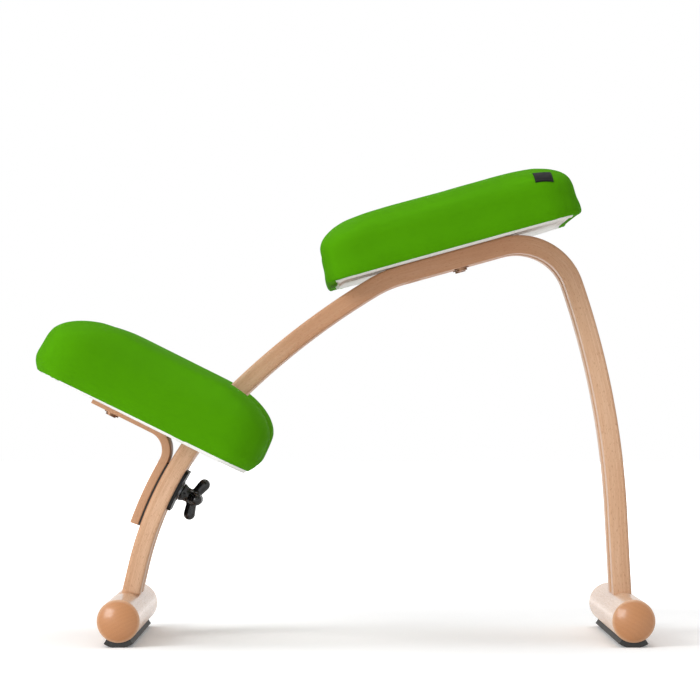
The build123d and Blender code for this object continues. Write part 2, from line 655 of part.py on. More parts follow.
def build():
    """Every node of the chair, by name."""
    nodes = {
        "left_rail": rail(-1),
        "right_rail": rail(1),
        "front_foot_bar": foot_bar(FRONT_BAR_X, FRONT_FEET),
        "rear_foot_bar": foot_bar(REAR_BAR_X, REAR_FEET),
        "front_foot_pad": foot_pad(FRONT_BAR_X),
        "rear_foot_pad": foot_pad(REAR_BAR_X),
        "front_bar_bolts": bar_bolts(FRONT_FEET),
        "rear_bar_bolts": bar_bolts(REAR_FEET),
        "front_barrel_nuts": barrel_nuts(FRONT_FEET),
        "rear_barrel_nuts": barrel_nuts(REAR_FEET),
    }
    seat = cushion(seat_outline, SEAT_LEVELS, SEAT_PLANE, SEAT_FIXINGS, [])
    knee = cushion(knee_outline, KNEE_LEVELS, KNEE_PLANE, KNEE_FIXINGS, KNEE_SCREWS)
    nodes.update({f"seat_{name}": piece for name, piece in seat.items()})
    nodes.update({f"knee_{name}": piece for name, piece in knee.items()})
    boards = [("seat", SEAT_PLANE, SEAT_FIXINGS), ("knee", KNEE_PLANE, KNEE_FIXINGS)]
    for name, plane, fixings in boards:
        places = [(plane.location * Pos(x, y, 0), below) for x, y, below in fixings]
        nodes[f"{name}_bolts"] = together([place * board_bolt(below) for place, below in places])
        nodes[f"{name}_washers"] = together([place * board_washer(below) for place, below in places])
        nodes[f"{name}_tee_nuts"] = together([place * tee_nut() for place, _ in places])
    screws = [KNEE_PLANE.location * Pos(*spot, 0) * knee_screw() for spot in KNEE_SCREWS]
    nodes["knee_screws"] = together(screws)
    nodes["seat_tag"] = seat_tag()
    nodes["knee_bracket"] = knee_bracket()
    nodes["bracket_liner"] = bracket_liner()
    nodes["clamp_bolt"] = CLAMP_PLANE.location * clamp_bolt()
    nodes["clamp_plate"] = clamp_plate()
    washer_bore = CLAMP_BOLT_DIAMETER + 4 * BOLT_CLEARANCE
    washer_top = PLATE_TOP + CLAMP_WASHER_THICKNESS
    washer = ring(CLAMP_WASHER_DIAMETER, washer_bore, PLATE_TOP, washer_top)
    nodes["clamp_washer"] = CLAMP_PLANE.location * washer
    nodes["knob_grip"] = CLAMP_PLANE.location * knob_grip()
    nodes["knob_insert"] = CLAMP_PLANE.location * knob_insert()
    return nodes


def main():
    """Centre the chair over its footprint and write each node."""
    nodes = build()
    front = min(piece.bounding_box().min.X for piece in nodes.values())
    rear = max(piece.bounding_box().max.X for piece in nodes.values())
    centred = Pos(-(front + rear) / 2, 0, 0)
    os.makedirs("parts", exist_ok=True)
    for name, piece in nodes.items():
        export_step(centred * piece, f"parts/{name}.step")
    print("shift", round(-(front + rear) / 2, 4))
    print("slide centre", SLIDE_CENTRE)
    print("clamp", CLAMP_PLANE.origin, CLAMP_PLANE.z_dir)
    print("bars", FRONT_BAR_X, REAR_BAR_X, "seat", SEAT_PLANE.origin, "knee", KNEE_PLANE.origin)


main()
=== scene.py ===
import json
from math import ceil, cos, hypot, pi, radians, sin

import bmesh
import bpy
from mathutils import Matrix, Vector
from mathutils.bvhtree import BVHTree
from mathutils.kdtree import KDTree


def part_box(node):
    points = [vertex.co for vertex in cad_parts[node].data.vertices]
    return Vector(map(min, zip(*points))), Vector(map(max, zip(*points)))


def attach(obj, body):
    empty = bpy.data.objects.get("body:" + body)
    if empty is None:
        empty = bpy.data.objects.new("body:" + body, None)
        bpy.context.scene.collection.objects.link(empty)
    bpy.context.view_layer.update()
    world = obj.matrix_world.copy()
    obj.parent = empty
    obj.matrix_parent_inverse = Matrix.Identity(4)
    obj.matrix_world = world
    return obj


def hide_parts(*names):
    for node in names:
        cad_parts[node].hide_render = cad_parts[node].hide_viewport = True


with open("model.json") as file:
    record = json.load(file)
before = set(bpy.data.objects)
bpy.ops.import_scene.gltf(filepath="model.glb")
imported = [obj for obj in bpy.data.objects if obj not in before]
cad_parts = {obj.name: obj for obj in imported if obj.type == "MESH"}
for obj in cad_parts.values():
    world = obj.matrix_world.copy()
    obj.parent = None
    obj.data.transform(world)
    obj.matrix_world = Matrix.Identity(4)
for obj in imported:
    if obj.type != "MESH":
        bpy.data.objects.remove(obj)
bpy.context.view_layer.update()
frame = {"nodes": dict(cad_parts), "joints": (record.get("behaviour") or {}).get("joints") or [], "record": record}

# Rails, in metres and degrees, from the front foot bar to the rear one
RAIL_THICKNESS = 0.022
RAIL_WIDTH = 0.036
RAIL_GAP = 0.028
RAIL_ROUND = 0.0035
FRONT_LEG_HEADING = 77.0
FRONT_LEG_STRAIGHT = 0.055
FRONT_BENDS = [(0.430, 44.5), (0.900, 31.0), (0.141, 15.5)]
SEAT_STRAIGHT = 0.126
REAR_BENDS = [(0.070, -71.0), (1.0, -87.0)]
RAIL_FOOT_SINK = 0.0025
BAR_DOME = 0.010
DOWEL_BORE = 0.0126
DOWEL_REACH = 0.0443
SEAT_BOLT_FRONT = -0.052
SEAT_BOLT_SEAT = -0.016
WASHER_BORE = 0.0186

# Knee bracket and its bolt head's recess
BRACKET_THICKNESS = 0.010
BRACKET_WIDTH = 0.096
BRACKET_BACK = 0.4433
BRACKET_LEG = (70.3, 59.8)
BRACKET_BEND = 0.023
BRACKET_ARM = 0.081
BRACKET_ROUND = 0.0015
BOLT_HEAD_BORE = 0.0206
BOLT_HEAD_SEAT = -0.0297

# Cushions, on planes that tilt with the rails and with the bracket's arm, with front and rear hems
SEAT_TILT = 15.5
KNEE_TILT = 26.5
SEAT_HEM = (0.0015, 0.0015)
KNEE_HEM = (0.0012, 0.004)
SEAT_ROLL = 0.0065
KNEE_ROLL = 0.0015
ROLL_WIDTH = 0.009
ROLL_HEIGHT = 0.014
HEM_TURN = 0.0012
CUSHION_VOXEL = 0.0045
CUSHION_SMOOTHING = 3
CUSHION_SHRINK = 0.0035
CUSHION_SWELL = 0.0045
CUSHION_SLACK = 0.5
SWELL_SMOOTHING = 6
PRESSURE = 4.0
CLOTH_QUALITY = 5
LAST_FRAME = 20
LINING_VOXEL = 0.003
LINING_SMOOTHING = 2
LINING_DROP = 0.0001
LINING_ROLL = 0.45

# Knob, in heights above its foot and distances from its axis
KNOB_FOOT = 0.0066
KNOB_PROFILE = [
    (0.0, 0.0110), (0.0016, 0.0110), (0.0060, 0.0090), (0.0100, 0.0086), (0.0140, 0.0098),
    (0.0180, 0.0114), (0.0212, 0.0106), (0.0232, 0.0080), (0.0240, 0.0040),
]
KNOB_LOBES = 4
LOBE_ROOT = (0.0, 0.0152)
LOBE_TIP = (0.0200, 0.0210)
LOBE_RADII = (0.0058, 0.0071)
KNOB_VOXEL = 0.0009
KNOB_SMOOTHING = 4

# Tag on the seat's left flank near the rear
TAG_PLACE = (0.122, 0.0512)
TAG_LOOK = Vector((0.0, 1.0, 0.0))
TAG_SIZE = (0.0215, 0.0200)
TAG_STEPS = 18
TAG_RISE = 0.03
TAG_LIFT = 0.0002
TAG_THICKNESS = 0.0007

# Camera, where the photograph was taken from
CAMERA_PLACE = (0.0, -5.0, 0.2873)
CAMERA_TARGET = (0.0079, 0.0, 0.348)
CAMERA_LENS = 211.6
CAMERA_SENSOR = 36.0
CAMERA_REACH = 100.0

# Surroundings, with lamps as place, size and power
FLOOR_SIZE = 14
FLOOR_GLOW = 0.14
FLOOR_FADE = (0.75, 2.2)
FLOOR_COLOURS = ((0.93, 0.93, 0.93, 1.0), (0.95, 0.95, 0.95, 1.0))
WHITE = (1.0, 1.0, 1.0, 1.0)
WORLD_LIGHT = 0.5
LAMP_TARGET = Vector((0, 0, 0.3))
LAMPS = {
    "key": ((-2.6, -3.0, 1.9), 2.2, 105),
    "top": ((-0.3, 0.4, 3.2), 2.6, 42),
}


def linear(red, green, blue):
    """Colour for a shader from screen values between 0 and 255."""
    channels = []
    for value in (red / 255, green / 255, blue / 255):
        channels.append(value / 12.92 if value <= 0.04045 else ((value + 0.055) / 1.055) ** 2.4)
    return (*channels, 1.0)


# Bent strips along straight stretches and arcs
def aside(stop, offset):
    """Point at an offset to the left of a stop, which is an x, a z and a heading."""
    x, z, heading = stop
    return (x - offset * sin(radians(heading)), z + offset * cos(radians(heading)))


def ahead(stop, length):
    """Stop at the end of a straight stretch."""
    x, z, heading = stop
    return (x + length * cos(radians(heading)), z + length * sin(radians(heading)), heading)


def turned(stop, radius, heading):
    """Stop at the end of an arc that turns to a new heading."""
    offset = radius if heading < stop[2] else -radius
    centre = aside(stop, -offset)
    return (*aside((*centre, heading), offset), heading)


def stations(stops, step=0.004, turn=1.5):
    """Stops close together along a chain of stops, each with its distance along the chain."""
    found = [(*stops[0], 0.0)]
    run = 0.0
    for start, end in zip(stops, stops[1:]):
        chord = hypot(end[0] - start[0], end[1] - start[1])
        bend = end[2] - start[2]
        radius = chord / 2 / abs(sin(radians(bend / 2))) if bend else 0.0
        length = radius * abs(radians(bend)) if bend else chord
        count = ceil(max(length / step, abs(bend) / turn))
        for index in range(1, count + 1):
            share = index / count
            if bend:
                spot = turned(start, radius, start[2] + bend * share)
            else:
                spot = ahead(start, length * share)
            found.append((*spot, run + length * share))
        run += length
    return found


def rounded_section(low, high, half, radius, parts=5):
    """Section of a strip as pairs of offset and side, with rounded corners."""
    centres = [(high - radius, half - radius), (low + radius, half - radius)]
    centres += [(low + radius, radius - half), (high - radius, radius - half)]
    points = []
    for corner, (offset, side) in enumerate(centres):
        for part in range(parts + 1):
            angle = pi / 2 * (corner + part / parts)
            points.append((offset + radius * cos(angle), side + radius * sin(angle)))
    return points


def new_piece(name, mesh):
    """Object in the scene with a mesh."""
    piece = bpy.data.objects.new(name, mesh)
    bpy.context.scene.collection.objects.link(piece)
    return piece


def piece_from(name, work, sharp=35.0):
    """Object made from a bmesh, shaded smooth apart from its sharp edges."""
    mesh = bpy.data.meshes.new(name)
    bmesh.ops.recalc_face_normals(work, faces=work.faces)
    work.to_mesh(mesh)
    work.free()
    mesh.polygons.foreach_set("use_smooth", [True] * len(mesh.polygons))
    mesh.set_sharp_from_angle(angle=radians(sharp))
    return new_piece(name, mesh)


def swept(name, stops, section, middle):
    """Strip with a section swept along stops, with run and depth as its UV map."""
    work = bmesh.new()
    uv = work.loops.layers.uv.new("Run")
    spots = stations(stops)
    rings = []
    for x, z, heading, run in spots:
        ring = []
        for offset, side in section:
            px, pz = aside((x, z, heading), offset)
            ring.append(work.verts.new((px, middle + side, pz)))
        rings.append(ring)
    size = len(section)
    for row in range(len(rings) - 1):
        for index in range(size):
            after = (index + 1) % size
            corners = [(row, index), (row, after), (row + 1, after), (row + 1, index)]
            face = work.faces.new([rings[r][i] for r, i in corners])
            for loop, (r, i) in zip(face.loops, corners):
                loop[uv].uv = (spots[r][3], section[i][0])
    for row in (0, -1):
        face = work.faces.new(rings[row])
        for loop, (offset, side) in zip(face.loops, section):
            loop[uv].uv = (spots[row][3] + side, offset)
    return piece_from(name, work)


def cut_below(piece, height):
    """Take away what lies below a height and close the cut."""
    work = bmesh.new()
    work.from_mesh(piece.data)
    everything = work.verts[:] + work.edges[:] + work.faces[:]
    bmesh.ops.bisect_plane(
        work, geom=everything, plane_co=(0, 0, height), plane_no=(0, 0, -1), clear_outer=True,
    )
    bmesh.ops.holes_fill(work, edges=[edge for edge in work.edges if edge.is_boundary])
    work.to_mesh(piece.data)
    work.free()


def settle(piece):
    """Apply a piece's modifiers to its mesh."""
    bpy.context.view_layer.update()
    evaluated = piece.evaluated_get(bpy.context.evaluated_depsgraph_get())
    mesh = bpy.data.meshes.new_from_object(evaluated)
    piece.modifiers.clear()
    piece.data = mesh


def add_rod(work, start, end, low, high):
    """Add a round rod between two points, with a radius at each end."""
    axis = Vector(end) - Vector(start)
    place = Matrix.Translation((Vector(start) + Vector(end)) / 2)
    place @= axis.to_track_quat("Z", "Y").to_matrix().to_4x4()
    bmesh.ops.create_cone(
        work, cap_ends=True, segments=48, radius1=low, radius2=high, depth=axis.length, matrix=place,
    )


def drill(piece, start, end, diameter):
    """Cut a round hole between two points."""
    work = bmesh.new()
    add_rod(work, start, end, diameter / 2, diameter / 2)
    cutter = piece_from("cutter", work)
    hole = piece.modifiers.new("hole", "BOOLEAN")
    hole.operation = "DIFFERENCE"
    hole.solver = "EXACT"
    hole.object = cutter
    settle(piece)
    bpy.data.objects.remove(cutter)


def box_middle(node):
    """Middle of a CAD node's box."""
    low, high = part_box(node)
    return (low + high) / 2


def plane_at(stop, offset, tilt):
    """Matrix of a plane at an offset from a stop, tilted in the XZ plane."""
    x, z = aside(stop, offset)
    return Matrix.Translation((x, 0, z)) @ Matrix.Rotation(-radians(tilt), 4, "Y")


JOINTS = {joint["name"]: joint for joint in frame["joints"]}
SLIDE_CENTRE = (JOINTS["knee_adjust"]["pos_m"][0], JOINTS["knee_adjust"]["pos_m"][2])
CLAMP_PLACE = Vector(JOINTS["knob_turn"]["pos_m"])
CLAMP_AXIS = Vector(JOINTS["knob_turn"]["axis"])


def slide_stop(radius, heading):
    """Stop on a circle about the slide centre, heading up the rail."""
    return (*aside((*SLIDE_CENTRE, heading), radius), heading)


def rail_stops():
    """Stops of the rails' middle line from one bar's axis to the other's."""
    axis = box_middle("front_foot_bar")
    stops = [(axis.x, axis.z, FRONT_LEG_HEADING)]
    stops.append(ahead(stops[-1], FRONT_LEG_STRAIGHT))
    for radius, heading in FRONT_BENDS:
        stops.append(turned(stops[-1], radius, heading))
    stops.append(ahead(stops[-1], SEAT_STRAIGHT))
    for radius, heading in REAR_BENDS:
        stops.append(turned(stops[-1], radius, heading))
    drop = (stops[-1][1] - axis.z) / sin(radians(-stops[-1][2]))
    stops.append(ahead(stops[-1], drop))
    return stops


def bracket_stops():
    """Stops along the front of the knee bracket, up its leg and out along its arm."""
    outer = BRACKET_BACK + BRACKET_THICKNESS
    stops = [slide_stop(outer, heading) for heading in BRACKET_LEG]
    stops.append(turned(stops[-1], BRACKET_BEND, 180 - KNEE_TILT))
    stops.append(ahead(stops[-1], BRACKET_ARM))
    return stops


RAIL_STOPS = rail_stops()
BRACKET_STOPS = bracket_stops()
SEAT_STOP = ahead(RAIL_STOPS[1 + len(FRONT_BENDS)], SEAT_STRAIGHT / 2)
SEAT_PLANE = plane_at(SEAT_STOP, RAIL_THICKNESS / 2, SEAT_TILT)
KNEE_PLANE = plane_at(BRACKET_STOPS[-1], -BRACKET_THICKNESS, -KNEE_TILT)


# Finishes
class Finish:
    """Procedural material, with short calls for the nodes that the finishes share."""

    def __init__(self, name, **sockets):
        self.material = bpy.data.materials.new(name)
        self.material.use_nodes = True
        self.tree = self.material.node_tree
        self.shader = self.tree.nodes["Principled BSDF"]
        for socket, value in sockets.items():
            self.shader.inputs[socket.replace("_", " ")].default_value = value

    def feed(self, socket, value):
        """Link an output to a socket, or set the socket's own value."""
        if isinstance(value, bpy.types.NodeSocket):
            self.tree.links.new(value, socket)
        else:
            socket.default_value = value

    def node(self, kind, inputs, output=0, **settings):
        """Output of a new node."""
        made = self.tree.nodes.new("ShaderNode" + kind)
        for name, value in settings.items():
            setattr(made, name, value)
        for key, value in inputs.items():
            self.feed(made.inputs[key], value)
        return made.outputs[output]

    def math(self, operation, first, second=0.0):
        return self.node("Math", {0: first, 1: second}, operation=operation)

    def mix(self, share, first, second):
        return self.node("Mix", {0: share, 6: first, 7: second}, output=2, data_type="RGBA")

    def span(self, value, low, high, to_low=0.0, to_high=1.0):
        """Value stretched from one range to another and held within it."""
        return self.node("MapRange", {0: value, 1: low, 2: high, 3: to_low, 4: to_high})

    def stretched(self, vector, scale):
        return self.node("VectorMath", {0: vector, 1: scale}, operation="MULTIPLY")

    def noise(self, vector, scale=1.0, detail=3.0, rough=0.5):
        inputs = {"Vector": vector, "Scale": scale, "Detail": detail, "Roughness": rough}
        return self.node("TexNoise", inputs)

    def place(self):
        """Object coordinates, in metres."""
        return self.node("TexCoord", {}, output=3)

    def facing(self):
        """Normal in the object's own axes."""
        return self.node("TexCoord", {}, output=1)

    def part(self, vector, index):
        return self.node("SeparateXYZ", {0: vector}, output=index)

    def vector(self, x, y, z):
        return self.node("CombineXYZ", {0: x, 1: y, 2: z})

    def finish(self, colour, rough, height, depth):
        """Send colour, roughness and a height in metres to the shader."""
        self.feed(self.shader.inputs["Base Color"], colour)
        self.feed(self.shader.inputs["Roughness"], rough)
        normal = self.node("Bump", {"Height": height, "Distance": depth, "Strength": 1.0})
        self.feed(self.shader.inputs["Normal"], normal)
        return self.material


BEECH_PALE = linear(226, 189, 157)
BEECH_MID = linear(213, 170, 134)
BEECH_DEEP = linear(186, 134, 96)
BEECH_FLECK = linear(158, 104, 70)
# Painted shade colour for the rails' upper arch under the seat
BEECH_PAINTED_SHADE = linear(168, 104, 62)
BEECH_END = linear(188, 128, 78)
BEECH_END_DEEP = linear(158, 98, 56)
VENEER = 0.00157

# Runs along a rail over which a painted shade fades in and out: a warmer darker brown standing in for the seat's
# shadow on the rail's upper arch
SHADE_ARCH_START = (0.3, 0.4)
SHADE_ARCH_END = (0.68, 0.82)
ARCH_SHADE_STRENGTH = 0.5


def beech_figure(finish, grain):
    """Colour and height of beech, for a vector in metres whose X runs along the grain."""
    broad = finish.noise(finish.stretched(grain, (5, 60, 60)), detail=3)
    fibre = finish.noise(finish.stretched(grain, (35, 1500, 1500)), detail=4)
    fleck = finish.noise(finish.stretched(grain, (220, 1700, 900)), detail=1)
    fleck = finish.span(fleck, 0.6, 0.7)
    colour = finish.mix(finish.span(broad, 0.3, 0.7), BEECH_PALE, BEECH_MID)
    colour = finish.mix(finish.span(fibre, 0.45, 0.75, 0.0, 0.55), colour, BEECH_DEEP)
    colour = finish.mix(finish.math("MULTIPLY", fleck, 0.5), colour, BEECH_FLECK)
    ridges = finish.math("MULTIPLY", fibre, 0.6)
    height = finish.math("SUBTRACT", ridges, finish.math("MULTIPLY", fleck, 0.4))
    return colour, height, fibre


def laminated_beech(name, depth_of_tone):
    """Beech veneers glued in a bend, with their edges showing on the flanks."""
    finish = Finish(name, Coat_Weight=0.06, Coat_Roughness=0.3, Specular_IOR_Level=0.35)
    run = finish.node("UVMap", {}, uv_map="Run")
    depth = finish.part(run, 1)
    along = finish.part(run, 0)
    grain = finish.vector(along, finish.part(finish.place(), 1), depth)
    colour, height, fibre = beech_figure(finish, grain)
    # Mixed toward deep beech by a share; the bracket's large share is painted shade
    colour = finish.mix(depth_of_tone, colour, BEECH_DEEP)
    # Painted shade: the rail's upper arch is mixed toward a warm dark brown in place of the seat's shadow
    shaded_arch = finish.math("MULTIPLY", finish.span(along, *SHADE_ARCH_START), finish.span(along, *SHADE_ARCH_END, 1.0, 0.0))
    colour = finish.mix(finish.math("MULTIPLY", shaded_arch, ARCH_SHADE_STRENGTH), colour, BEECH_PAINTED_SHADE)
    layer = finish.math("DIVIDE", depth, VENEER)
    shade = finish.node("TexWhiteNoise", {"W": finish.math("FLOOR", layer)}, noise_dimensions="1D")
    colour = finish.mix(finish.math("MULTIPLY", shade, 0.3), colour, BEECH_DEEP)
    edge = finish.math("ABSOLUTE", finish.math("SUBTRACT", finish.math("FRACT", layer), 0.5))
    glue = finish.span(edge, 0.4, 0.5)
    side = finish.math("ABSOLUTE", finish.part(finish.facing(), 1))
    glue = finish.math("MULTIPLY", glue, finish.span(side, 0.5, 0.9))
    colour = finish.mix(finish.math("MULTIPLY", glue, 0.35), colour, BEECH_FLECK)
    height = finish.math("SUBTRACT", height, finish.math("MULTIPLY", glue, 0.8))
    return finish.finish(colour, finish.span(fibre, 0.2, 0.8, 0.36, 0.5), height, 0.00012)


def turned_beech(name, length, dome):
    """Solid turned and lacquered beech along Y, darker on its end grain."""
    finish = Finish(name, Coat_Weight=0.6, Coat_Roughness=0.18)
    place = finish.place()
    x, y, z = (finish.part(place, index) for index in range(3))
    colour, height, fibre = beech_figure(finish, finish.vector(y, x, z))
    wander = finish.noise(finish.stretched(place, (30, 3, 30)), detail=2)
    rise = finish.math("ADD", z, 0.035)
    pith = finish.node("VectorMath", {0: finish.vector(finish.math("MULTIPLY", x, 0.35), 0.0, rise)},
                       output=1, operation="LENGTH")
    rings = finish.math("ADD", finish.math("MULTIPLY", pith, 2100), finish.math("MULTIPLY", wander, 9))
    rings = finish.span(finish.math("SINE", rings), -1.0, 1.0)
    colour = finish.mix(finish.math("MULTIPLY", rings, 0.14), colour, BEECH_DEEP)
    reach = finish.math("ABSOLUTE", y)
    ends = finish.span(reach, length / 2 - dome * 1.1, length / 2 - dome * 0.7)
    end_colour = finish.mix(finish.math("MULTIPLY", rings, 0.1), BEECH_END, BEECH_END_DEEP)
    pores = finish.noise(finish.stretched(place, (900, 60, 900)), detail=3)
    end_colour = finish.mix(finish.span(pores, 0.5, 0.75, 0.0, 0.3), end_colour, BEECH_END_DEEP)
    colour = finish.mix(ends, colour, end_colour)
    return finish.finish(colour, finish.span(fibre, 0.2, 0.8, 0.34, 0.5), height, 0.0001)


def plywood(name):
    """Raw face veneer of a board."""
    finish = Finish(name)
    colour, height, fibre = beech_figure(finish, finish.place())
    return finish.finish(colour, finish.span(fibre, 0.2, 0.8, 0.55, 0.7), height, 0.0002)


def weave(finish, across, along, pitch):
    """Height of a plain weave over two coordinates in metres."""
    u = finish.math("DIVIDE", across, pitch)
    v = finish.math("DIVIDE", along, pitch)
    warp = finish.math("ABSOLUTE", finish.math("SINE", finish.math("MULTIPLY", u, pi)))
    weft = finish.math("ABSOLUTE", finish.math("SINE", finish.math("MULTIPLY", v, pi)))
    over = finish.node("TexChecker", {"Vector": finish.vector(u, v, 0.5), "Scale": 1.0}, output=1)
    return finish.node("Mix", {0: over, 2: warp, 3: weft}, data_type="FLOAT")


def woven(name, pale, deep, pitch, rough, **sockets):
    """Woven cloth, its threads laid on whichever side of the piece a point faces."""
    finish = Finish(name, **sockets)
    place = finish.place()
    x, y, z = (finish.part(place, index) for index in range(3))
    normal = finish.facing()
    side_x = finish.math("ABSOLUTE", finish.part(normal, 0))
    side_y = finish.math("ABSOLUTE", finish.part(normal, 1))
    flat = weave(finish, x, y, pitch)
    end = weave(finish, y, z, pitch)
    flank = weave(finish, x, z, pitch)
    height = finish.node("Mix", {0: finish.span(side_x, 0.6, 0.8), 2: flat, 3: end}, data_type="FLOAT")
    height = finish.node("Mix", {0: finish.span(side_y, 0.6, 0.8), 2: height, 3: flank}, data_type="FLOAT")
    fuzz = finish.noise(place, scale=2600, detail=3)
    slub = finish.noise(finish.stretched(place, (90, 700, 700)), detail=2)
    broad = finish.noise(place, scale=14, detail=3)
    colour = finish.mix(finish.span(height, 0.1, 0.9), deep, pale)
    colour = finish.mix(finish.span(slub, 0.5, 0.8, 0.0, 0.3), colour, deep)
    colour = finish.mix(finish.span(broad, 0.4, 0.7, 0.0, 0.18), colour, deep)
    height = finish.math("ADD", height, finish.math("MULTIPLY", fuzz, 0.7))
    shine = finish.span(fuzz, 0.3, 0.7, rough - 0.06, rough + 0.06)
    return finish.finish(colour, shine, height, pitch * 0.22)


def spunbond(name, pale, deep, pitch):
    """Pale lining of pressed fibres, with its grid of small bonded dots."""
    finish = Finish(name)
    place = finish.place()
    fibre = finish.noise(place, scale=1300, detail=4)
    cloudy = finish.noise(place, scale=35, detail=3)
    dots = finish.node("TexVoronoi", {"Vector": place, "Scale": 1 / pitch, "Randomness": 0.12})
    dot = finish.span(dots, 0.18, 0.34)
    colour = finish.mix(finish.span(cloudy, 0.35, 0.7, 0.0, 0.5), pale, deep)
    colour = finish.mix(finish.span(dot, 0.0, 1.0, 0.35, 0.0), colour, deep)
    height = finish.math("ADD", finish.math("MULTIPLY", dot, 0.8), finish.math("MULTIPLY", fibre, 0.5))
    return finish.finish(colour, finish.span(fibre, 0.3, 0.7, 0.8, 0.95), height, 0.0002)


def moulded(name, base, worn, grain, rough, depth, **sockets):
    """Moulded or coated black surface, with a fine grain and faint scuffs."""
    finish = Finish(name, **sockets)
    place = finish.place()
    stipple = finish.noise(place, scale=grain, detail=2)
    scuff = finish.noise(finish.stretched(place, (260, 70, 190)), detail=5, rough=0.7)
    scuff = finish.span(scuff, 0.58, 0.75)
    colour = finish.mix(finish.math("MULTIPLY", scuff, 0.5), base, worn)
    shine = finish.math("ADD", finish.span(stipple, 0.3, 0.7, rough - 0.05, rough + 0.05),
                        finish.math("MULTIPLY", scuff, 0.12))
    return finish.finish(colour, shine, stipple, depth)


def plated(name, base, deep, rough):
    """Bright plated metal with faint turning marks."""
    finish = Finish(name, Metallic=1.0)
    place = finish.place()
    cloudy = finish.noise(place, scale=120, detail=3)
    marks = finish.noise(finish.stretched(place, (300, 300, 5200)), detail=2)
    colour = finish.mix(finish.span(cloudy, 0.35, 0.7), base, deep)
    return finish.finish(colour, finish.span(marks, 0.3, 0.7, rough - 0.08, rough + 0.1), marks, 0.00003)


def ribbon(name, border, middle, thread, pitch):
    """Blank sewn ribbon with a dark border, a greyer middle and stitches, on a map from 0 to 1."""
    finish = Finish(name, Specular_IOR_Level=0.12)
    run = finish.node("UVMap", {}, uv_map="Run")
    across = finish.part(run, 0)
    along = finish.part(run, 1)
    from_end = finish.math("SUBTRACT", 0.5, finish.math("ABSOLUTE", finish.math("SUBTRACT", across, 0.5)))
    from_side = finish.math("SUBTRACT", 0.5, finish.math("ABSOLUTE", finish.math("SUBTRACT", along, 0.5)))
    rim = finish.math("MINIMUM", finish.math("MULTIPLY", from_end, 1.5), from_side)
    inner = finish.span(rim, 0.2, 0.23)
    seam = finish.math("MULTIPLY", finish.span(rim, 0.085, 0.1), finish.span(rim, 0.13, 0.145, 1.0, 0.0))
    beat = finish.math("SINE", finish.math("MULTIPLY", finish.math("ADD", across, along), 70.0))
    stitch = finish.math("MULTIPLY", seam, finish.span(beat, -0.2, 0.1))
    wide = finish.math("MULTIPLY", across, TAG_SIZE[0])
    tall = finish.math("MULTIPLY", along, TAG_SIZE[1])
    ribs = weave(finish, wide, tall, pitch)
    colour = finish.mix(inner, border, middle)
    colour = finish.mix(finish.span(ribs, 0.2, 0.9, 0.35, 0.0), colour, linear(4, 4, 4))
    colour = finish.mix(stitch, colour, thread)
    height = finish.math("ADD", ribs, finish.math("MULTIPLY", stitch, 1.5))
    return finish.finish(colour, finish.span(ribs, 0.2, 0.9, 0.7, 0.55), height, pitch * 0.3)


GREEN_PALE = linear(86, 164, 2)
GREEN_DEEP = linear(64, 130, 0)
RAIL_WOOD = laminated_beech("laminated_beech", 0.05)
# Painted shade: the bracket's wood is mixed far toward deep beech in place of the knee pad's shadow on it
BRACKET_WOOD = laminated_beech("bracket_beech_painted_shade", 0.7)
BAR_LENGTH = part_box("front_foot_bar")[1].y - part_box("front_foot_bar")[0].y
BAR_WOOD = turned_beech("turned_beech", BAR_LENGTH, BAR_DOME)
BOARD_WOOD = plywood("raw_plywood")
GREEN = woven(
    "green_cloth", GREEN_PALE, GREEN_DEEP, 0.0009, 0.88,
    Sheen_Weight=0.06, Sheen_Roughness=0.5, Sheen_Tint=linear(100, 190, 10), Specular_IOR_Level=0.06,
)
LINING = spunbond("pale_lining", linear(242, 242, 239), linear(222, 222, 218), 0.0021)
RUBBER = moulded("black_rubber", linear(44, 43, 42), linear(82, 80, 78), 900, 0.7, 0.00012)
PLASTIC = moulded("black_plastic", linear(22, 22, 23), linear(44, 43, 43), 900, 0.2, 0.00002)
COATED = moulded(
    "powder_coat", linear(14, 13, 13), linear(36, 34, 33), 650, 0.5, 0.00006, Specular_IOR_Level=0.25,
)
ZINC = plated("zinc_plate", linear(150, 153, 157), linear(108, 112, 118), 0.36)
BRASS = plated("turned_brass", linear(214, 178, 98), linear(170, 132, 64), 0.28)
BRONZE = plated("bronzed_steel", linear(150, 116, 92), linear(112, 82, 62), 0.38)
RIBBON = ribbon("black_ribbon", linear(10, 10, 10), linear(30, 30, 31), linear(64, 64, 66), 0.0005)

NODE_FINISHES = {
    "black_rubber": RUBBER, "black_plastic": PLASTIC, "black_steel": COATED, "zinc_steel": ZINC,
    "bronzed_steel": BRONZE, "brass": BRASS, "plywood": BOARD_WOOD, "beech": BAR_WOOD,
}


def paint(piece, material):
    """Give a piece one material all over."""
    piece.data.materials.clear()
    piece.data.materials.append(material)


def dress_nodes():
    """Finish each CAD node that stays in view."""
    for subpart in frame["record"]["subparts"]:
        material = NODE_FINISHES.get(subpart["material_slot"])
        if material:
            paint(frame["nodes"][subpart["node"]], material)


def dress(piece, body, slot, material, *replaced):
    """Let a piece ride on a body in place of CAD nodes."""
    paint(piece, material)
    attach(piece, body)
    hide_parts(*replaced)
    return piece


